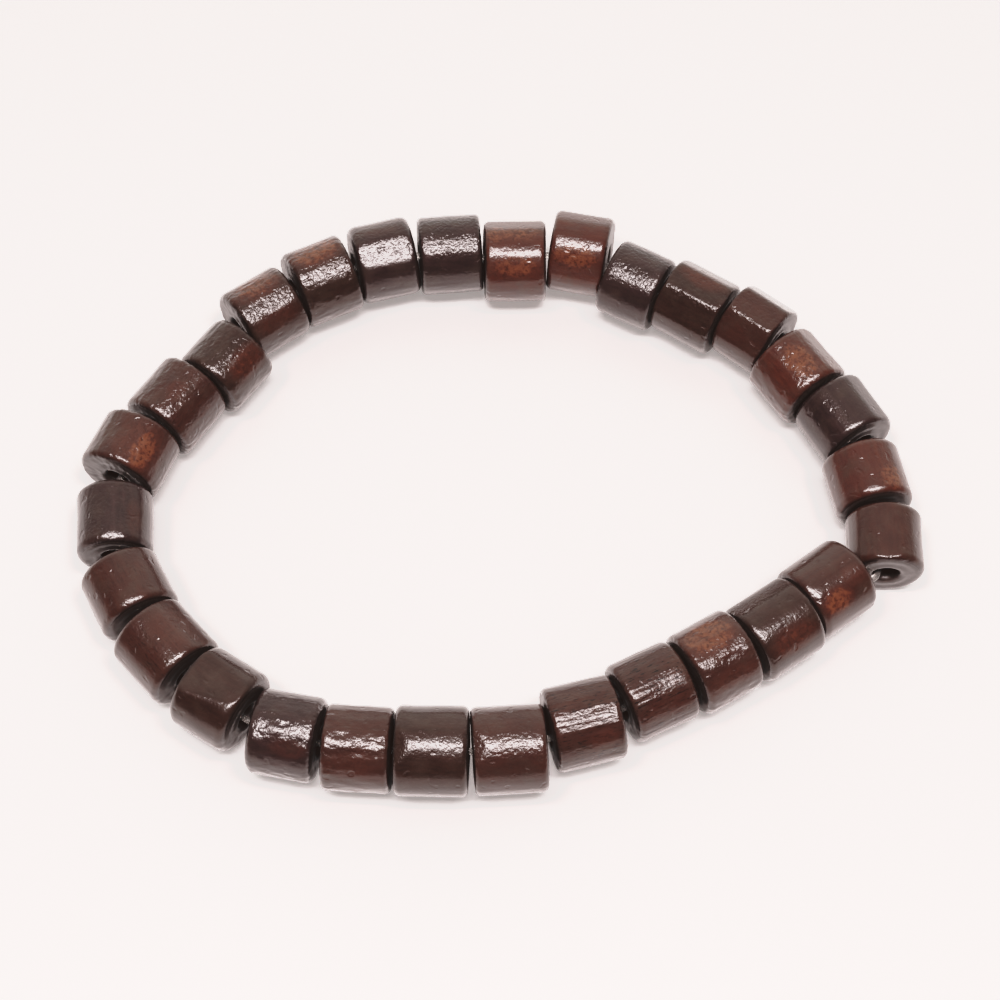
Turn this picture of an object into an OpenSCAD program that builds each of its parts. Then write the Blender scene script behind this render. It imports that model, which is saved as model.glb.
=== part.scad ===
// Beaded stretch bracelet: short drum beads of lacquered dark wood on a clear elastic, lying on a table.
// Millimetres, with +Z up, +X to the right and +Y to the back. The origin is on the table, under the
// middle of the bracelet's box.

/* [Beads] */
// Usual diameter of a bead
bead_diameter = 8; // [7.6:0.1:8.6]
// Usual length of a bead along its bore
bead_length = 6.3; // [5.9:0.1:7]
// Radius of the tumbled rim round each end of a bead
rim_radius = 0.8; // [0.5:0.1:1]
// Diameter of the bore
bore_diameter = 2.6; // [2.4:0.1:3]
// Radius of the worn mouth at each end of the bore
mouth_radius = 0.5; // [0.3:0.1:0.6]
// Least space between two beads
bead_gap = 0.15; // [0.1:0.05:0.3]

/* [Elastic] */
// Diameter of the clear elastic
elastic_diameter = 1; // [0.6:0.1:1]
// Diameter of the knot, which is drawn into a bore
knot_diameter = 2; // [1.6:0.1:2.2]
// Length of the knot along the bore
knot_length = 2.4; // [1.8:0.1:3]

/* [Hidden] */
$fn = 48;
elastic_sides = 8;

// Stains of the wood under the lacquer
BLACK_BROWN = "#33211f";
DARK_BROWN = "#472a24";
BROWN = "#5c382e";
RED_BROWN = "#6b3326";

// The beads in the order of threading, clockwise from the right of the back as seen from above. TURN is the
// way the bore points, in degrees clockwise from +X. LONGER and WIDER are what the bead has over the usual
// length and diameter. ASIDE is how far out it sits from the bead before it. STAIN is its colour.
TURN = 0;
LONGER = 1;
WIDER = 2;
ASIDE = 3;
STAIN = 4;
BEADS = [
    [11, -0.5, 0.4, 1.5, RED_BROWN],
    [29, -0.2, 0, -1.7, BLACK_BROWN],
    [33, 0, 0, 0.9, DARK_BROWN],
    [39, -0.5, 0, 1.1, BROWN],
    [56, -0.1, 0, -0.8, RED_BROWN],
    [61, -0.1, -0.2, 0.8, BLACK_BROWN],
    [80, 0.1, -0.3, -0.6, BROWN],
    [93, -0.3, -0.6, 0.6, BROWN],
    [144, 0.2, -0.2, -3, BROWN],
    [146, 0.2, 0, 0.4, DARK_BROWN],
    [150, -0.1, 0.2, -0.3, RED_BROWN],
    [154, 0, -0.2, -0.2, DARK_BROWN],
    [166, 0.3, 0, 0.8, BROWN],
    [176, 0.2, 0.2, 1.5, BROWN],
    [181, 0.4, 0.4, 0, DARK_BROWN],
    [184, 0, 0, 0, BROWN],
    [191, -0.3, 0, -0.4, BLACK_BROWN],
    [212, 0, 0.2, -0.9, BROWN],
    [227, 0, 0, -0.3, BROWN],
    [241, 0.1, -0.2, -0.2, BROWN],
    [264, 0.3, -0.6, -0.1, BLACK_BROWN],
    [292, -0.2, 0.2, 0.1, RED_BROWN],
    [303, 0, 0, -0.9, BROWN],
    [305, 0, -0.2, -1.2, BROWN],
    [324, 0.2, -0.2, 2, RED_BROWN],
    [334, -0.2, 0.2, 0.3, RED_BROWN],
    [345, 0, 0.2, 0.3, BLACK_BROWN],
    [355, 0.1, 0.2, -0.5, BLACK_BROWN],
    [359, 0.1, 0.4, -1.3, RED_BROWN]
];
COUNT = len(BEADS);

// The sharp bend between two beads at the right end of the loop, counted from 0, with the knot in the
// second of them. BEND_WAY is the elastic's way round the rim of the first: how far ahead of the middle of
// its end, and how far in.
BEFORE_BEND = 7;
KNOTTED = 8;
BEND_WAY = [[0.45, 0.95], [0.7, 1.5], [0.7, 2.2]];
// Where the knot's rings lie, as shares of half its length
KNOT_RINGS = [-1, -0.6, 0, 0.6, 1];
// Space left between the elastic and the wall of a bore
bore_clearance = 0.1;

function after(k) = (k + 1) % COUNT;
function length_of(k) = bead_length + BEADS[k][LONGER];
function diameter_of(k) = bead_diameter + BEADS[k][WIDER];

// Level directions along a bore that is turned clockwise by a, and to the outside of the loop from it
function ahead(a) = [cos(a), -sin(a), 0];
function out(a) = [sin(a), cos(a), 0];

// Clockwise turn from bead k to the next, and the direction half way between the two
function bend(k) = (BEADS[after(k)][TURN] - BEADS[k][TURN] + 360) % 360;
function between(k) = BEADS[k][TURN] + bend(k) / 2;

// How far a bead of diameter d reaches past the middle of its end, seen a degrees away from its bore
function reach(d, a) = rim_radius + (d / 2 - rim_radius) * abs(sin(a)) - rim_radius * cos(a);

// Space along the mean direction that keeps bead k and the next apart, divided by a plane that is square to
// that direction or that lies along one of the two ends, whichever lets them come closest
function spacing(k) =
    let (half = bend(k) / 2)
    min([for (lean = [0, half, -half])
        (bead_gap + reach(diameter_of(k), lean + half) + reach(diameter_of(after(k)), lean - half)
            + BEADS[after(k)][ASIDE] * sin(lean)) / cos(lean)]);

// Step from the middle of bead k to the middle of the next
function step(k) =
    ahead(BEADS[k][TURN]) * length_of(k) / 2
    + ahead(between(k)) * spacing(k)
    + out(between(k)) * BEADS[after(k)][ASIDE]
    + ahead(BEADS[after(k)][TURN]) * length_of(after(k)) / 2;

// Middles of the beads as threaded, and the first one again where the string comes back to it. What is left
// between the two is shared out along the loop, so that it closes.
threaded = [for (k = 0, at = [0, 0, 0]; k <= COUNT; at = at + step(k % COUNT), k = k + 1) at];
closed = [for (k = [0:COUNT - 1]) threaded[k] - threaded[COUNT] * k / COUNT];

// Half of the box of bead k in plan, and the middle of the whole loop's box
function half_box(k) =
    let (a = BEADS[k][TURN], along = length_of(k) / 2 - rim_radius, across = diameter_of(k) / 2 - rim_radius)
    [along * abs(cos(a)) + across * abs(sin(a)) + rim_radius,
     along * abs(sin(a)) + across * abs(cos(a)) + rim_radius,
     0];
function box_middle(axis) =
    (max([for (k = [0:COUNT - 1]) closed[k][axis] + half_box(k)[axis]])
        + min([for (k = [0:COUNT - 1]) closed[k][axis] - half_box(k)[axis]])) / 2;
loop_middle = [box_middle(0), box_middle(1), 0];

// Middle of bead k, lying on the table
function middle(k) = closed[k] - loop_middle + [0, 0, diameter_of(k) / 2];

// Point in bead k, along its bore from its middle and out from its axis
function inside(k, along, sideways) =
    middle(k) + ahead(BEADS[k][TURN]) * along + out(BEADS[k][TURN]) * sideways;

// How far the elastic leans out of the axis to reach a bore that sits aside by s
play = (bore_diameter - elastic_diameter) / 2 - bore_clearance;
function leaning(s) = max(-play, min(play, s / 2));

// Elastic at bead k: in at one end, through the knot if it is there, out at the other end, and round the
// sharp bend. Each row is a point and a radius.
function way(k) =
    let (
        end = length_of(k) / 2,
        thin = elastic_diameter / 2,
        thick = knot_diameter / 2
    )
    concat(
        [[inside(k, -end, -leaning(BEADS[k][ASIDE])), thin]],
        k == KNOTTED
            ? [for (f = KNOT_RINGS) [inside(k, f * knot_length / 2, 0), thin + (thick - thin) * cos(90 * f)]]
            : [],
        [[inside(k, end, leaning(BEADS[after(k)][ASIDE])), thin]],
        k == BEFORE_BEND
            ? [for (p = BEND_WAY) [inside(k, end + p[0], -p[1]), thin]]
            : []
    );
route = [for (k = [0:COUNT - 1]) each way(k)];

// Ring of the elastic at point i of its route, square to the way it runs there
function ring(i) =
    let (
        n = len(route),
        run = route[(i + 1) % n][0] - route[(i + n - 1) % n][0],
        forward = run / norm(run),
        level = cross([0, 0, 1], forward),
        side = level / norm(level),
        up = cross(forward, side)
    )
    [for (j = [0:elastic_sides - 1])
        let (a = 360 * j / elastic_sides)
        route[i][0] + (side * cos(a) + up * sin(a)) * route[i][1]];

// Section of a bead beside its axis: a block with a round rim outside and a round mouth at the bore
module bead_section(length, diameter) {
    bore = bore_diameter / 2;
    outside = diameter / 2;
    translate([bore + mouth_radius, -length / 2])
        square([outside - rim_radius - bore - mouth_radius, length]);
    translate([bore, -length / 2 + mouth_radius])
        square([outside - rim_radius - bore, length - 2 * mouth_radius]);
    translate([bore + mouth_radius, -length / 2 + rim_radius])
        square([outside - bore - mouth_radius, length - 2 * rim_radius]);
    for (end = [-1, 1]) {
        translate([bore + mouth_radius, end * (length / 2 - mouth_radius)])
            circle(mouth_radius);
        translate([outside - rim_radius, end * (length / 2 - rim_radius)])
            circle(rim_radius);
    }
}

module bead(k) {
    color(BEADS[k][STAIN])
        translate(middle(k))
            rotate([0, 0, -BEADS[k][TURN]])
                rotate([0, 90, 0])
                    rotate_extrude()
                        bead_section(length_of(k), diameter_of(k));
}

module elastic_cord() {
    rings = len(route);
    color("#e6e2de")
        polyhedron(
            points = [for (i = [0:rings - 1]) each ring(i)],
            faces = [for (i = [0:rings - 1], j = [0:elastic_sides - 1])
                let (here = i * elastic_sides, next = (i + 1) % rings * elastic_sides, m = (j + 1) % elastic_sides)
                [here + j, here + m, next + m, next + j]]
        );
}

function bead_name(k) = str("bead_", k < 9 ? "0" : "", k + 1);
for (k = [0:COUNT - 1])
    bead(k);
elastic_cord();
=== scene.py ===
"""A bracelet of twenty-nine stained and lacquered wooden drum beads, threaded on clear elastic."""

import math

import bmesh
import bpy
from mathutils import Matrix, Vector, noise


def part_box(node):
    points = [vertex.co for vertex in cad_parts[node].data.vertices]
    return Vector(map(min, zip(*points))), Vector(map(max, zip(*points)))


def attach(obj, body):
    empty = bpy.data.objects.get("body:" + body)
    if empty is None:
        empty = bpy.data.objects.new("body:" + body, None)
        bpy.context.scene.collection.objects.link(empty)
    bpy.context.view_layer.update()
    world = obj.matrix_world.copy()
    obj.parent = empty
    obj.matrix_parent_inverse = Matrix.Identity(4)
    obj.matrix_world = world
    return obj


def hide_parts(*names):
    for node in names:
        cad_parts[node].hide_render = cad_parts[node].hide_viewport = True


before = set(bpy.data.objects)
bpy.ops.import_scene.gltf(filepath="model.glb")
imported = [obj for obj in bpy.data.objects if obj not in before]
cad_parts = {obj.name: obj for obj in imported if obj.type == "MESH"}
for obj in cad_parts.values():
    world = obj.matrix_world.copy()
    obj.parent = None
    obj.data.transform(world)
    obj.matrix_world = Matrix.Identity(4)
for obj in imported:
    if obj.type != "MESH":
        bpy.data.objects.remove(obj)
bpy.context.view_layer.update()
root = "root"

# Camera
# The bracelet lies flat and is looked down on from the front at a steep angle, close enough
# for the near row of beads to stand larger than the far row.

MM = 0.001
LOOKS_AT = (0.2, 0.3, 0)
CAMERA_ELEVATION = 62.15
CAMERA_DISTANCE = 180
CAMERA_LENS = 64.2
CAMERA_SENSOR = 36

camera_data = bpy.data.cameras.new("camera")
camera_data.lens = CAMERA_LENS
camera_data.sensor_width = CAMERA_SENSOR
camera_data.clip_start = 0.005
camera = bpy.data.objects.new("camera", camera_data)
tilt = math.radians(CAMERA_ELEVATION)
camera.location = MM * (Vector(LOOKS_AT) + CAMERA_DISTANCE * Vector((0, -math.cos(tilt), math.sin(tilt))))
camera.rotation_euler = (math.pi / 2 - tilt, 0, 0)
bpy.context.scene.collection.objects.link(camera)
bpy.context.scene.camera = camera

# Lacquered wooden drum beads
# Each is a short drum turned from hardwood, drilled lengthwise, with rounded rims and mouths and
# ends cut a little out of square. Hand work leaves soft flats and a fibrous skin, and the dark
# stain under the thick clear lacquer is rubbed thin in places, so that the orange wood shows.

BEAD_DIAMETER = 8
BEAD_LENGTH = 6.3
BORE = 2.4
MOUTH = 0.6
# A bead comes this much closer to its neighbours than the solids, which keep a clear gap.
CLOSER = 0.14
STEPS_ROUND = 180
CUTS_ALONG = 38
CUTS_ON_END = 6
CUTS_IN_BORE = 3
RIM_SEGMENTS = 8
MOUTH_SEGMENTS = 5
LONG_EDGE = 2
SAME_PLACE = 0.01

LUMP_SIZE = 3.2
LUMP_DEPTH = 0.12
FLAT_BLEND = 0.06
HIGHEST_SWELL = 0.02
# The top has the whole relief and pitting, and the flanks these shares of them. Low on the flanks
# the fibres stand out by FLANK_RELIEF more.
RELIEF_ON_FLANK = 0.4
PITTING_ON_FLANK = 0.3
FLANK_RELIEF = 0.025
RING_PITCH = 1.1
RING_DEPTH = 0.05
# How dark the rims turn: painted shade where each bead meets its neighbours.
RIM_SHADE_STRENGTH = 0.8
# Relief left in the skin, as (height, width across the grain, length along it) in millimetres.
RELIEFS = {
    "smooth": (0.015, 0.7, 5),
    "fibrous": (0.04, 0.45, 5),
    "flaky": (0.06, 0.55, 1.3),
    "ridged": (0.07, 0.7, 1.8),
}

# The darker and the lighter fibres of each stain.
STAINS = {
    "black_brown": ("#261a19", "#3c2c2a"),
    "dark_brown": ("#271813", "#3b2822"),
    "brown": ("#311e1a", "#452c24"),
    "red_brown": ("#3a1f1b", "#543226"),
}
# Open pores, painted shade that darkens the rims where the beads meet, turned end grain, grey
# blotches in the lacquer, and the wood where the stain is rubbed thin and rubbed through.
PORE = "#130c0b"
SHADED_RIM = "#1e1615"
END_GRAIN = "#4a3c37"
VEIL = "#40362f"
THINNED = "#4c2e25"
WORN = "#68402f"

# One row a bead: heading clockwise from above in degrees, extra length and extra diameter in
# millimetres, radius of the rims, lean in degrees of its far end and of the next bead's near end,
# stain, relief, strengths of the fine pitting and of the fine ribs, flats as (degrees round from
# the top to the outside, degrees tipped along, depth), and rubbed places as (millimetres along,
# degrees round, half length, half width, strength, where 1 is rubbed through to orange wood).
BEADS = [
    (11, -0.5, 0.4, 0.7, 2.5, "red_brown", "smooth", 0.6, 0.4,
     [(30, 0, 0.1), (-64, 0, 0.2)], [(-0.2, -40, 3, 1.7, 1)]),
    (29, -0.45, 0, 0.7, 0, "black_brown", "smooth", 1.2, 0.4,
     [(-22, 0, 0.05), (-22, -9, 0.08)], []),
    (33, 0.3, 0, 0.65, 0, "dark_brown", "smooth", 0.9, 0.3,
     [(44, 0, 0.2), (0, 0, 0.25), (-45, 0, 0.3)], [(0, 20, 3, 1.6, 0.5)]),
    (39, -0.75, 0, 0.75, 2.5, "brown", "smooth", 0.9, 0.3,
     [(48, 0, 0.3), (0, 0, 0.25), (-45, 0, 0.3)], []),
    (56, 0, 0, 0.8, 1, "red_brown", "flaky", 0.8, 0.6,
     [(42, 0, 0.2), (-17, 14, 0.08)], [(0.3, -9, 2.7, 1.9, 1)]),
    (61, -0.25, -0.2, 0.75, 3, "black_brown", "smooth", 0.5, 0.2,
     [(38, 0, 0.15), (-16, 14, 0.06)], []),
    (80, -0.2, -0.3, 0.8, 1.5, "red_brown", "smooth", 0.5, 0.3,
     [(-11, 17, 0.05)], [(1.4, 24, 1.8, 1.7, 1)]),
    (93, 0, -0.6, 0.8, 0, "brown", "smooth", 0.4, 0.2,
     [(-7, 0, 0.2)], []),
    (144, 0.25, -0.2, 0.8, 0, "brown", "smooth", 0.4, 0.3,
     [(10, 15, 0.05)], [(1.1, 38, 1.9, 1.5, 1), (-1.5, 20, 1.6, 1.1, 0.4)]),
    (146, 0.3, 0, 0.7, 0, "dark_brown", "smooth", 0.4, 0.3,
     [(-42, 0, 0.2), (10, 13, 0.04)], [(0, 42, 2.8, 1.6, 0.6)]),
    (150, -0.1, 0.2, 0.75, 0, "brown", "flaky", 0.7, 0.6,
     [], [(0.3, -20, 3, 2.6, 1), (0, 50, 3, 1.2, 0.4)]),
    (154, 0.1, -0.2, 0.75, 0, "brown", "fibrous", 0.5, 3,
     [(12, -8, 0.1)], [(0, 48, 3, 1.2, 0.3)]),
    (166, 0.25, 0, 0.65, 0, "brown", "fibrous", 0.6, 2.5,
     [], [(-1.2, 45, 1.6, 1, 0.4)]),
    (176, 0.45, 0.2, 0.65, 0, "brown", "smooth", 0.9, 0.4,
     [(13, 20, 0.3)], []),
    (181, 0.4, 0.4, 0.7, 1, "dark_brown", "smooth", 0.6, 0.3,
     [(13, 20, 0.3)], []),
    (184, -0.1, 0, 0.65, 0, "brown", "ridged", 0.8, 0.6,
     [], [(0.3, 42, 2.8, 1.3, 0.3)]),
    (191, -0.15, 0, 0.8, 0, "black_brown", "flaky", 0.9, 0.5,
     [(12, 9, 0.1), (12, -10, 0.08)], [(-1, 36, 2, 1, 0.3)]),
    (212, -0.05, 0.2, 0.95, 0, "dark_brown", "smooth", 0.3, 0.2,
     [(-4, 6, 0.68)], []),
    (227, 0.35, 0, 0.75, 0, "brown", "smooth", 0.6, 1.2,
     [(-40, 0, 0.15), (6, -16, 0.04)], [(0, -20, 2.6, 2.4, 0.3)]),
    (241, -0.05, -0.2, 0.8, 0, "brown", "smooth", 0.6, 0.7,
     [(1, -18, 0.06)], []),
    (264, 0.55, -0.6, 0.8, 2, "black_brown", "smooth", 1, 0.2,
     [(-6, -19, 0.1)], [(-0.8, -40, 2.2, 0.9, 0.3)]),
    (292, -0.45, 0.2, 0.7, 0, "brown", "flaky", 0.7, 0.6,
     [], [(-0.7, -34, 2.8, 1.5, 1), (-0.3, -28, 3, 3, 0.55)]),
    (303, 0.35, 0, 0.75, 0, "brown", "flaky", 1.1, 1,
     [(-17, -13, 0.08)], [(0, -12, 1.5, 1, 0.4)]),
    (305, -0.25, -0.2, 0.8, 2.5, "dark_brown", "flaky", 1, 0.6,
     [(-17, -14, 0.07)], [(0.5, -45, 2.6, 1.7, 0.6)]),
    (324, 0.15, -0.2, 0.8, 2.5, "dark_brown", "flaky", 1.2, 0.6,
     [(-23, 0, 0.13)], [(0, 22, 3.2, 2.4, 0.85), (0, -50, 3, 1.3, 0.4)]),
    (334, -0.3, 0.2, 0.7, 2.5, "dark_brown", "flaky", 1.1, 0.6,
     [(-22, 0, 0.08)], [(0, 20, 3.2, 2.3, 1)]),
    (345, -0.15, 0.2, 0.95, 2.5, "black_brown", "smooth", 0.9, 0.3,
     [(-25, 0, 0.26)], [(0, 25, 3, 1.6, 0.2)]),
    (355, -0.05, 0.2, 0.6, 2, "black_brown", "smooth", 1.4, 0.4,
     [(-22, 0, 0.06)], []),
    (359, -0.15, 0.4, 0.6, 2.5, "red_brown", "smooth", 0.5, 0.4,
     [(33, 0, 0.16)], [(-1.9, 10, 1.4, 1.6, 1), (0.6, 10, 2.6, 1.5, 0.9), (0, -42, 3, 1.6, 0.9)]),
]


def linear(colour):
    """An sRGB hex colour as Blender's linear red, green, blue and alpha."""
    parts = [int(colour[i:i + 2], 16) / 255 for i in (1, 3, 5)]
    return [p / 12.92 if p <= 0.04045 else ((p + 0.055) / 1.055) ** 2.4 for p in parts] + [1]


def add(tree, kind, settings, inputs):
    """Adds a node with its settings, and gives each input a value or another node's output."""
    node = tree.nodes.new(kind)
    for name, value in settings.items():
        setattr(node, name, value)
    for name, value in inputs.items():
        shown = [s for s in node.inputs if s.enabled and s.name == name]
        socket = node.inputs[name] if isinstance(name, int) else shown[0]
        if isinstance(value, bpy.types.Node):
            tree.links.new(next(o for o in value.outputs if o.enabled), socket)
        elif isinstance(value, bpy.types.NodeSocket):
            tree.links.new(value, socket)
        else:
            socket.default_value = value
    return node


def new_material(name):
    """An empty material and its node tree."""
    material = bpy.data.materials.new(name)
    material.use_nodes = True
    material.node_tree.nodes.clear()
    return material, material.node_tree


def lacquered_wood(stain, dark, light):
    """Stained hardwood, sanded and dipped in clear gloss lacquer: streaks of darker and lighter
    fibre show through a wet-looking coat, whose small pits break up every reflection and keep
    their dark stain where the rest is rubbed thin. The rims are painted darker, as shade where beads meet."""
    material, tree = new_material(f"gloss_lacquered_{stain}_stained_hardwood")
    grain = add(tree, "ShaderNodeAttribute", {"attribute_name": "grain"}, {}).outputs["Vector"]
    worn = add(tree, "ShaderNodeAttribute", {"attribute_name": "worn"}, {}).outputs["Fac"]
    pitted = add(tree, "ShaderNodeAttribute", {"attribute_name": "pitted"}, {}).outputs["Fac"]
    ribbed = add(tree, "ShaderNodeAttribute", {"attribute_name": "ribbed"}, {}).outputs["Fac"]
    painted_rim_shade = add(tree, "ShaderNodeAttribute", {"attribute_name": "painted_rim_shade"}, {}).outputs["Fac"]

    # Fibres are about 0.4 mm apart and five times as long. Pores are drawn 0.15 mm wide, about
    # three times the real width, because finer ones don't show.
    along = add(tree, "ShaderNodeMapping", {}, {"Vector": grain, "Scale": (0.2, 1, 1)})
    fibres = add(tree, "ShaderNodeTexNoise", {}, {"Vector": along, "Scale": 2.4, "Detail": 4})
    pores = add(tree, "ShaderNodeTexNoise", {}, {"Vector": along, "Scale": 6.5})
    # Clouds in the stain are about 2.5 mm across and grey blotches in the lacquer 1.8 mm.
    clouds = add(tree, "ShaderNodeTexNoise", {}, {"Vector": grain, "Scale": 0.4, "Detail": 3})
    blotches = add(tree, "ShaderNodeTexNoise", {},
                   {"Vector": grain, "Scale": 0.55, "Detail": 4, "Roughness": 0.6})
    # The rubbed places have ragged edges, and the coat has pits 0.35 mm and specks 0.2 mm across,
    # with a nick here and there.
    flecks = add(tree, "ShaderNodeTexNoise", {},
                 {"Vector": grain, "Scale": 1.6, "Detail": 5, "Roughness": 0.65})
    pits = add(tree, "ShaderNodeTexNoise", {}, {"Vector": grain, "Scale": 2.8, "Detail": 1.5})
    specks = add(tree, "ShaderNodeTexNoise", {}, {"Vector": grain, "Scale": 5, "Detail": 1})
    nicks = add(tree, "ShaderNodeTexNoise", {}, {"Vector": grain, "Scale": 1.3, "Detail": 0})

    wood = add(tree, "ShaderNodeMix", {"data_type": "RGBA"},
               {"Factor": fibres, "A": linear(dark), "B": linear(light)})
    shade = add(tree, "ShaderNodeMapRange", {},
                {"Value": clouds, "From Min": 0.35, "From Max": 0.65, "To Max": 0.5})
    clouded = add(tree, "ShaderNodeMix", {"data_type": "RGBA"},
                  {"Factor": shade, "A": wood, "B": linear(dark)})
    greyed = add(tree, "ShaderNodeMapRange", {},
                 {"Value": blotches, "From Min": 0.45, "From Max": 0.7, "To Max": 0.4})
    veiled = add(tree, "ShaderNodeMix", {"data_type": "RGBA"},
                 {"Factor": greyed, "A": clouded, "B": linear(VEIL)})
    open_pore = add(tree, "ShaderNodeMapRange", {},
                    {"Value": pores, "From Min": 0.56, "From Max": 0.68, "To Max": 0.3})
    streak = add(tree, "ShaderNodeMath", {"operation": "MULTIPLY", "use_clamp": True},
                 {0: open_pore, 1: ribbed})
    pored = add(tree, "ShaderNodeMix", {"data_type": "RGBA"},
                {"Factor": streak, "A": veiled, "B": linear(PORE)})
    ragged = add(tree, "ShaderNodeMapRange", {},
                 {"Value": flecks, "From Min": 0.3, "From Max": 0.7, "To Min": 0.5, "To Max": 1.3})
    uneven = add(tree, "ShaderNodeMath", {"operation": "MULTIPLY"}, {0: worn, 1: ragged})
    thin = add(tree, "ShaderNodeMapRange", {}, {"Value": uneven, "From Max": 0.85})
    thinned = add(tree, "ShaderNodeMix", {"data_type": "RGBA"},
                  {"Factor": thin, "A": pored, "B": linear(THINNED)})
    through = add(tree, "ShaderNodeMapRange", {}, {"Value": uneven, "From Min": 0.6, "From Max": 1.05})
    worn_through = add(tree, "ShaderNodeMix", {"data_type": "RGBA"},
                       {"Factor": through, "A": thinned, "B": linear(WORN)})
    holes = add(tree, "ShaderNodeMapRange", {},
                {"Value": pits, "From Min": 0.5, "From Max": 0.66, "To Max": 0.55})
    dots = add(tree, "ShaderNodeMath", {"operation": "MULTIPLY", "use_clamp": True}, {0: holes, 1: uneven})
    dotted = add(tree, "ShaderNodeMix", {"data_type": "RGBA"},
                 {"Factor": dots, "A": worn_through, "B": linear(PORE)})
    # Painted shade: the colour darkens over the rounded rims, where the beads meet.
    colour = add(tree, "ShaderNodeMix", {"data_type": "RGBA"},
                 {"Factor": painted_rim_shade, "A": dotted, "B": linear(SHADED_RIM)})

    dullness = add(tree, "ShaderNodeMapRange", {}, {"Value": fibres, "To Min": 0.25, "To Max": 0.4})
    sunk = add(tree, "ShaderNodeMapRange", {}, {"Value": pits, "From Min": 0.68, "From Max": 0.42})
    pitting = add(tree, "ShaderNodeMath", {"operation": "MULTIPLY"}, {0: sunk, 1: pitted})
    speckled = add(tree, "ShaderNodeMath", {"operation": "MULTIPLY_ADD"}, {0: specks, 1: 0.5, 2: pitting})
    nick = add(tree, "ShaderNodeMapRange", {},
               {"Value": nicks, "From Min": 0.7, "From Max": 0.8, "To Max": -1.5})
    nicked = add(tree, "ShaderNodeMath", {"operation": "ADD"}, {0: speckled, 1: nick})
    skin = add(tree, "ShaderNodeMath", {"operation": "MULTIPLY_ADD"}, {0: fibres, 1: ribbed, 2: nicked})
    bumps = add(tree, "ShaderNodeBump", {}, {"Strength": 1, "Distance": 0.02 * MM, "Height": skin})
    shader = add(tree, "ShaderNodeBsdfPrincipled", {}, {
        "Base Color": colour, "Roughness": dullness, "IOR": 1.5, "Specular IOR Level": 0.15,
        "Normal": bumps, "Coat Weight": 1, "Coat Roughness": 0.18, "Coat IOR": 1.5, "Coat Normal": bumps,
    })
    add(tree, "ShaderNodeOutputMaterial", {}, {"Surface": shader})
    return material


def sealed_end_grain():
    """Turned end grain and the bore, which soaked up most of the lacquer: dull dark brown under a
    thin coat, which mirrors a little of the pale floor where an end lies open."""
    material, tree = new_material("satin_sealed_turned_end_grain")
    grain = add(tree, "ShaderNodeAttribute", {"attribute_name": "grain"}, {}).outputs["Vector"]
    # The ends of the vessels are dots, drawn 0.2 mm apart because finer ones don't show.
    vessels = add(tree, "ShaderNodeTexNoise", {}, {"Vector": grain, "Scale": 5, "Detail": 2})
    colour = add(tree, "ShaderNodeMix", {"data_type": "RGBA"},
                 {"Factor": vessels, "A": linear(PORE), "B": linear(END_GRAIN)})
    dullness = add(tree, "ShaderNodeMapRange", {}, {"Value": vessels, "To Min": 0.35, "To Max": 0.55})
    pitting = add(tree, "ShaderNodeBump", {}, {"Strength": 1, "Distance": 0.008 * MM, "Height": vessels})
    shader = add(tree, "ShaderNodeBsdfPrincipled", {},
                 {"Base Color": colour, "Roughness": dullness, "IOR": 1.5, "Normal": pitting,
                  "Coat Weight": 0.5, "Coat Roughness": 0.25, "Coat IOR": 1.5})
    add(tree, "ShaderNodeOutputMaterial", {}, {"Surface": shader})
    return material


def turned_drum(length, diameter, rim):
    """A drilled drum round the X axis: its section is spun, then both rims and both mouths are
    rounded, and the skin is cut finely enough to carry the relief."""
    drum = bmesh.new()
    half, outer, inner = length / 2, diameter / 2, BORE / 2
    corners = [drum.verts.new((x, 0, r)) for x, r in
               ((-half, inner), (-half, outer), (half, outer), (half, inner))]
    sides = [drum.edges.new((corners[i - 1], corners[i])) for i in range(4)]
    bmesh.ops.spin(drum, geom=corners + sides, cent=(0, 0, 0), axis=(1, 0, 0),
                   angle=2 * math.pi, steps=STEPS_ROUND, use_merge=True)
    bmesh.ops.remove_doubles(drum, verts=drum.verts, dist=0.001)

    def edges_where(test):
        found = []
        for e in drum.edges:
            (ax, ar), (bx, br) = ((v.co.x, math.hypot(v.co.y, v.co.z)) for v in e.verts)
            if test(abs(ax - bx), abs(ar - br), (ar + br) / 2):
                found.append(e)
        return found

    wall = (outer + inner) / 2
    rims = edges_where(lambda dx, dr, r: dx < SAME_PLACE and dr < SAME_PLACE and r > wall)
    bmesh.ops.bevel(drum, geom=rims, offset=rim, offset_type="OFFSET", affect="EDGES",
                    segments=RIM_SEGMENTS, profile=0.5, material=-1)
    mouths = edges_where(lambda dx, dr, r: dx < SAME_PLACE and dr < SAME_PLACE and r < inner + SAME_PLACE)
    bmesh.ops.bevel(drum, geom=mouths, offset=MOUTH, offset_type="OFFSET", affect="EDGES",
                    segments=MOUTH_SEGMENTS, profile=0.5, material=-1)
    for cuts, test in (
        (CUTS_ALONG, lambda dx, dr, r: dx > LONG_EDGE and r > wall),
        (CUTS_IN_BORE, lambda dx, dr, r: dx > LONG_EDGE and r < wall),
        (CUTS_ON_END, lambda dx, dr, r: dx < SAME_PLACE and dr > MOUTH / 2),
    ):
        bmesh.ops.subdivide_edges(drum, edges=edges_where(test), cuts=cuts, use_grid_fill=True)
    bmesh.ops.recalc_face_normals(drum, faces=drum.faces)
    return drum


def soft_step(value, low, high):
    """0 below low, 1 above high, and a smooth change between."""
    t = min(max((value - low) / (high - low), 0), 1)
    return t * t * (3 - 2 * t)


def direction(degrees_round, degrees_along):
    """The unit vector square to a flat, in a bead's own frame: bore along X, loop's outside at Y."""
    turn, lean = math.radians(degrees_round), math.radians(degrees_along)
    return Vector((math.sin(lean), math.cos(lean) * math.sin(turn), math.cos(lean) * math.cos(turn)))


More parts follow.
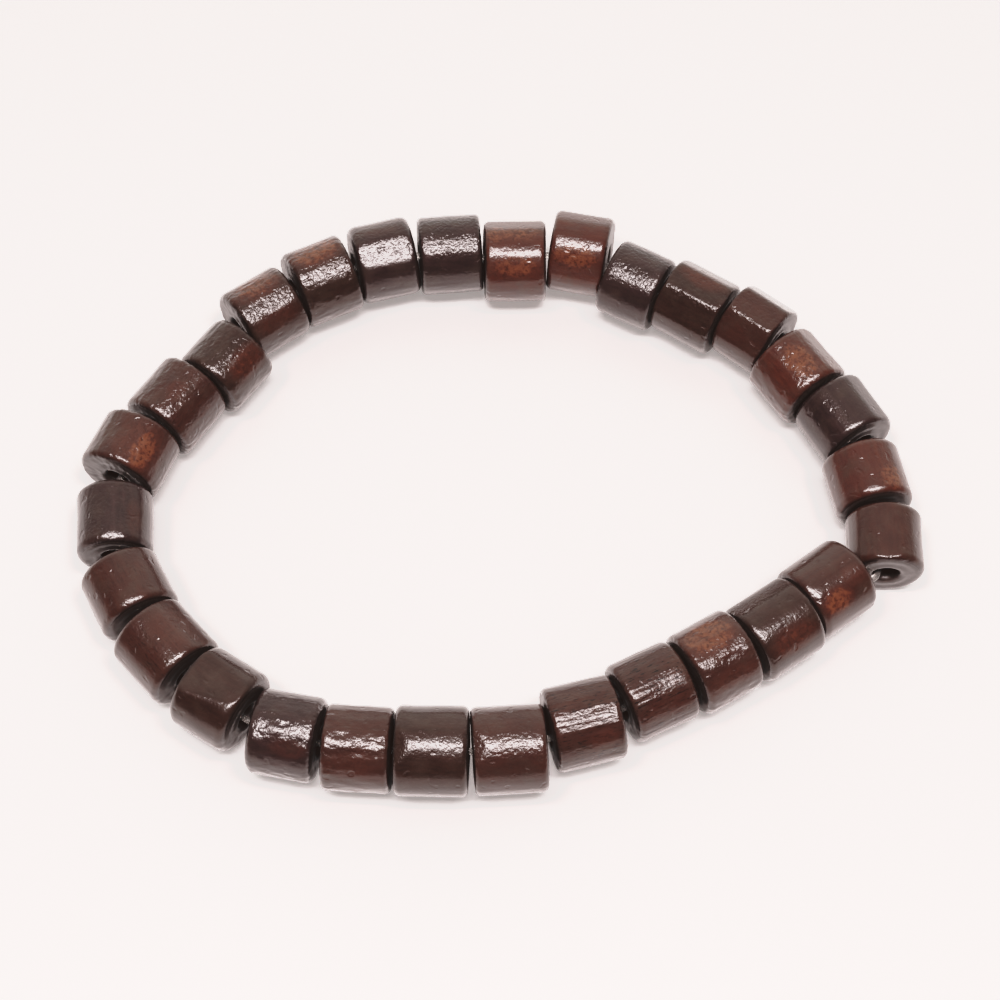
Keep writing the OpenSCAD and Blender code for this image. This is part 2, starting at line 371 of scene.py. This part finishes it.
def facing_up(p):
    """1 on the side of a drum that faces up, and 0 round its flanks and underneath."""
    return soft_step(p.z / math.hypot(p.y, p.z), 0.7, 0.92)


def hand_finish(drum, length, diameter, rim, relief, flats, place):
    """Presses the flats, lumps and fibres into a drum's skin, and turns a shallow groove round each
    mouth. place shifts the noise, so that no two beads are alike."""
    drum.normal_update()
    normals = [v.normal.copy() for v in drum.verts]
    height, width, reach = RELIEFS[relief]
    planes = []
    for turn, lean, depth in flats:
        out = direction(turn, lean)
        corner = (length / 2 - rim) * abs(out.x) + (diameter / 2 - rim) * math.hypot(out.y, out.z)
        planes.append((out, corner + rim - depth))
    for v, normal in zip(drum.verts, normals):
        p = v.co.copy()
        from_bore = math.hypot(p.y, p.z) - BORE / 2
        skin = soft_step(from_bore, 0, MOUTH + 0.3)
        lump = noise.noise(p / LUMP_SIZE + place)
        fibre = noise.noise(Vector((p.x / reach, p.y / width, p.z / width)) + place)
        hair = noise.noise(Vector((p.x / reach, p.y / width, p.z / width)) * 2 + place)
        downward = -p.z / math.hypot(p.y, p.z)
        raised = height * (RELIEF_ON_FLANK + (1 - RELIEF_ON_FLANK) * facing_up(p))
        raised += FLANK_RELIEF * soft_step(downward, -0.6, 0)
        sunk = LUMP_DEPTH * (lump + 0.3) / 2 + raised * (fibre + 0.4 * hair + 0.5)
        v.co -= normal * skin * max(sunk, -HIGHEST_SWELL)
        turned = math.sin(math.pi * (from_bore - MOUTH) / RING_PITCH) ** 2
        v.co.x -= normal.x * soft_step(abs(normal.x), 0.8, 1) * RING_DEPTH * turned
        for out, far in planes:
            over = v.co.dot(out) - far
            v.co -= out * FLAT_BLEND * math.log1p(math.exp(min(over / FLAT_BLEND, 60)))


def cut_ends(drum, length, diameter, leans):
    """Cuts both ends out of square, longest low on the loop's outside, so that the drum meets its
    neighbours there. leans holds the degrees at the end towards the bead before and towards the next."""
    for v in drum.verts:
        lean = math.radians(leans[1] if v.co.x > 0 else leans[0])
        outward = (v.co.y - v.co.z) / math.sqrt(2) + diameter / 2
        v.co.x *= 1 + outward * math.tan(lean) / (length / 2)


def mark(mesh, name, kind, values):
    """Stores one value a vertex under a name that the materials read."""
    field = "vector" if kind == "FLOAT_VECTOR" else "value"
    mesh.attributes.new(name, kind, "POINT").data.foreach_set(field, values)


def rubbed(p, diameter, places):
    """How thin the stain is at a point, from 0 to 1."""
    turn = math.degrees(math.atan2(p.y, p.z))
    most = 0
    for along, degrees_round, half_length, half_width, strength in places:
        across = math.radians(turn - degrees_round) * diameter / 2
        away = math.hypot((p.x - along) / half_length, across / half_width)
        most = max(most, strength * (1 - soft_step(away, 0.5, 1.2)))
    return most


bead_finish = {stain: lacquered_wood(stain, *colours) for stain, colours in STAINS.items()}
end_finish = sealed_end_grain()

for number, row in enumerate(BEADS, 1):
    heading, longer, wider, rim, lean, stain, relief, pitting, ribs, flats, places = row
    cad_name = f"bead_{number:02d}"
    length, diameter = BEAD_LENGTH + longer + CLOSER, BEAD_DIAMETER + wider
    place = Vector((number * 17.3, number * 5.1, number * 11.7))
    drum = turned_drum(length, diameter, rim)
    grain = [c for v in drum.verts for c in v.co + place]
    worn = [rubbed(v.co, diameter, places) for v in drum.verts]
    drum.normal_update()
    # The rounded rims are painted darker towards the ends, as shade where the beads meet.
    painted_rim_shade = [RIM_SHADE_STRENGTH * soft_step(abs(v.normal.x), 0.55, 0.95) for v in drum.verts]
    pitted = [pitting * (PITTING_ON_FLANK + (1 - PITTING_ON_FLANK) * facing_up(v.co)) for v in drum.verts]
    # The end faces and the bore are bare end grain, and the rest is lacquered skin.
    for face in drum.faces:
        middle = face.calc_center_median()
        in_bore = math.hypot(middle.y, middle.z) < BORE / 2 + MOUTH
        face.material_index = int(in_bore or abs(face.normal.x) > 0.9)
    hand_finish(drum, length, diameter, rim, relief, flats, place)
    cut_ends(drum, length, diameter, (BEADS[number - 2][4], lean))

    lowest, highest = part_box(cad_name)
    turned = Matrix.Rotation(math.radians(-heading), 4, "Z")
    bmesh.ops.transform(drum, verts=drum.verts,
                        matrix=Matrix.Translation((lowest + highest) / 2) @ turned @ Matrix.Scale(MM, 4))
    for face in drum.faces:
        face.smooth = True
    mesh = bpy.data.meshes.new(f"drum_bead_{number:02d}")
    drum.to_mesh(mesh)
    drum.free()
    mark(mesh, "grain", "FLOAT_VECTOR", grain)
    mark(mesh, "worn", "FLOAT", worn)
    mark(mesh, "painted_rim_shade", "FLOAT", painted_rim_shade)
    mark(mesh, "pitted", "FLOAT", pitted)
    mark(mesh, "ribbed", "FLOAT", [ribs] * len(mesh.vertices))
    mesh.materials.append(bead_finish[stain])
    mesh.materials.append(end_finish)
    bead = bpy.data.objects.new(f"drum_bead_{number:02d}", mesh)
    bpy.context.scene.collection.objects.link(bead)
    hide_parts(cad_name)
    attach(bead, root)

# Elastic
# One loop of clear polyurethane elastic runs through every bore and is tied inside bead 9, where
# the knot fills the bore. It was drawn into a smooth round thread and turns milky as it is stretched.

ELASTIC = "#f2efea"
ELASTIC_SMOOTHING = 2
DRAWN_THINNER = 0.13

# Stretched thread shows the haze of its drawing as waves about 0.7 mm long.
milky, tree = new_material("drawn_clear_polyurethane_elastic")
where = add(tree, "ShaderNodeTexCoord", {}, {}).outputs["Object"]
haze = add(tree, "ShaderNodeTexNoise", {}, {"Vector": where, "Scale": 1.5 / MM, "Detail": 3})
dullness = add(tree, "ShaderNodeMapRange", {}, {"Value": haze, "To Min": 0.12, "To Max": 0.35})
waves = add(tree, "ShaderNodeBump", {}, {"Strength": 0.6, "Distance": 0.01 * MM, "Height": haze})
shader = add(tree, "ShaderNodeBsdfPrincipled", {}, {
    "Base Color": linear(ELASTIC), "Roughness": dullness, "IOR": 1.5, "Normal": waves,
    "Transmission Weight": 0.9,
})
add(tree, "ShaderNodeOutputMaterial", {}, {"Surface": shader})

thread = bmesh.new()
thread.from_mesh(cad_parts["elastic_cord"].data)
bmesh.ops.remove_doubles(thread, verts=thread.verts, dist=0.001 * MM)
bmesh.ops.join_triangles(thread, faces=thread.faces,
                         angle_face_threshold=math.pi, angle_shape_threshold=math.pi)
thread.normal_update()
for v in thread.verts:
    v.co -= v.normal * DRAWN_THINNER * MM
for face in thread.faces:
    face.smooth = True
mesh = bpy.data.meshes.new("threaded_elastic")
thread.to_mesh(mesh)
thread.free()
mesh.materials.append(milky)
elastic = bpy.data.objects.new("threaded_elastic", mesh)
bpy.context.scene.collection.objects.link(elastic)
rounding = elastic.modifiers.new("rounding", "SUBSURF")
rounding.levels = rounding.render_levels = ELASTIC_SMOOTHING
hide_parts("elastic_cord")
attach(elastic, root)

# Floor
# A sheet of opal acrylic, the white of a light table, that runs on past the edges of the picture.
# It is cast with a satin face and glows faintly by itself, painted light that keeps its shadows soft.

FLOOR_SIZE = 8
FLOOR = "#e2dfde"
# The sheet's own glow is painted light, with no lamp behind it.
PAINTED_GLOW = "#f4e6e3"
PAINTED_GLOW_STRENGTH = 0.35

# Its satin mirrors a little more at a low angle, with a mottle 30 mm across that hardly shows.
opal, tree = new_material("satin_cast_opal_acrylic_painted_glow")
where = add(tree, "ShaderNodeTexCoord", {}, {}).outputs["Object"]
mottle = add(tree, "ShaderNodeTexNoise", {}, {"Vector": where, "Scale": 30, "Detail": 2})
dullness = add(tree, "ShaderNodeMapRange", {}, {"Value": mottle, "To Min": 0.25, "To Max": 0.4})
shader = add(tree, "ShaderNodeBsdfPrincipled", {}, {
    "Base Color": linear(FLOOR), "Roughness": dullness, "IOR": 1.49,
    "Emission Color": linear(PAINTED_GLOW), "Emission Strength": PAINTED_GLOW_STRENGTH,
})
add(tree, "ShaderNodeOutputMaterial", {}, {"Surface": shader})
sheet = bmesh.new()
bmesh.ops.create_grid(sheet, x_segments=1, y_segments=1, size=FLOOR_SIZE / 2)
mesh = bpy.data.meshes.new("floor")
sheet.to_mesh(mesh)
sheet.free()
mesh.materials.append(opal)
floor = bpy.data.objects.new("floor", mesh)
bpy.context.scene.collection.objects.link(floor)

# Light
# One long softbox hangs overhead, a little to the front, and puts the pinkish white band on every
# bead. The room is dim overhead and in front and bright low down behind, so the lacquer stays
# dark on the near side and pale along the far edge.

SOFTBOX_WIDTH = 0.5
SOFTBOX_DEPTH = 0.16
SOFTBOX_PLACE = (0, -0.1, 0.6)
SOFTBOX_RADIANCE = 24
SOFTBOX_COLOUR = (1, 0.84, 0.83)
FILL_WIDTH = 1.2
FILL_HEIGHT = 0.6
FILL_PLACE = (0, -0.7, 0.5)
FILL_RADIANCE = 0.45
ROOM_FRONT = 0.09
ROOM_BACK = 1.0
ROOM_SEEN = "#f4f1ee"

box_light = bpy.data.lights.new("overhead_softbox", "AREA")
box_light.shape = "RECTANGLE"
box_light.size = SOFTBOX_WIDTH
box_light.size_y = SOFTBOX_DEPTH
box_light.energy = SOFTBOX_RADIANCE * math.pi * SOFTBOX_WIDTH * SOFTBOX_DEPTH
box_light.color = SOFTBOX_COLOUR
softbox = bpy.data.objects.new("overhead_softbox", box_light)
softbox.location = SOFTBOX_PLACE
bpy.context.scene.collection.objects.link(softbox)

fill_light = bpy.data.lights.new("front_reflector", "AREA")
fill_light.shape = "RECTANGLE"
fill_light.size = FILL_WIDTH
fill_light.size_y = FILL_HEIGHT
fill_light.energy = FILL_RADIANCE * math.pi * FILL_WIDTH * FILL_HEIGHT
fill = bpy.data.objects.new("front_reflector", fill_light)
fill.location = FILL_PLACE
fill.rotation_euler = (math.atan2(-FILL_PLACE[1], FILL_PLACE[2]), 0, 0)
fill.visible_glossy = False
bpy.context.scene.collection.objects.link(fill)

world = bpy.data.worlds.new("studio")
world.use_nodes = True
world.node_tree.nodes.clear()
tree = world.node_tree
bpy.context.scene.world = world
looking = add(tree, "ShaderNodeTexCoord", {}, {}).outputs["Generated"]
parts = add(tree, "ShaderNodeSeparateXYZ", {}, {"Vector": looking})
brightness = add(tree, "ShaderNodeMapRange", {"interpolation_type": "SMOOTHSTEP"}, {
    "Value": parts.outputs["Y"], "From Min": -0.2, "From Max": 1, "To Min": ROOM_FRONT, "To Max": ROOM_BACK,
})
room = add(tree, "ShaderNodeBackground", {}, {"Color": (1, 0.95, 0.9, 1), "Strength": brightness})
backdrop = add(tree, "ShaderNodeBackground", {}, {"Color": linear(ROOM_SEEN)})
seen = add(tree, "ShaderNodeLightPath", {}, {}).outputs["Is Camera Ray"]
both = add(tree, "ShaderNodeMixShader", {}, {0: seen, 1: room, 2: backdrop})
add(tree, "ShaderNodeOutputWorld", {}, {"Surface": both})

# The sheet is lit past white, as in a catalogue picture, and each colour is then eased down to
# its warm white, with the shadows on it hardly showing. The blacks are lifted a little, as in a
# faded print.

SHADOWS = ((0.03, 0.021), (0.07, 0.056), (0.14, 0.135), (0.3, 0.29))
RED = ((0.69, 0.645), (0.87, 0.79), (1.15, 0.845), (1.36, 0.85), (1.55, 0.92))
GREEN = ((0.59, 0.581), (0.755, 0.745), (1.03, 0.8), (1.21, 0.82), (1.385, 0.89))
BLUE = ((0.58, 0.577), (0.735, 0.735), (1.01, 0.79), (1.185, 0.81), (1.355, 0.88))
BRIGHTEST = 3
EASING = (
    ((0, 0.01),) + SHADOWS + RED + ((BRIGHTEST, 1),),
    ((0, 0.006),) + SHADOWS + GREEN + ((BRIGHTEST, 0.97),),
    ((0, 0.005),) + SHADOWS + BLUE + ((BRIGHTEST, 0.965),),
)

shown = bpy.context.scene.view_settings
shown.view_transform = "Standard"
shown.use_curve_mapping = True
shown.curve_mapping.clip_max_x = BRIGHTEST
for curve, points in zip(shown.curve_mapping.curves, EASING):
    curve.points[0].location = points[0]
    curve.points[1].location = points[-1]
    for point in points[1:-1]:
        curve.points.new(*point)
shown.curve_mapping.update()
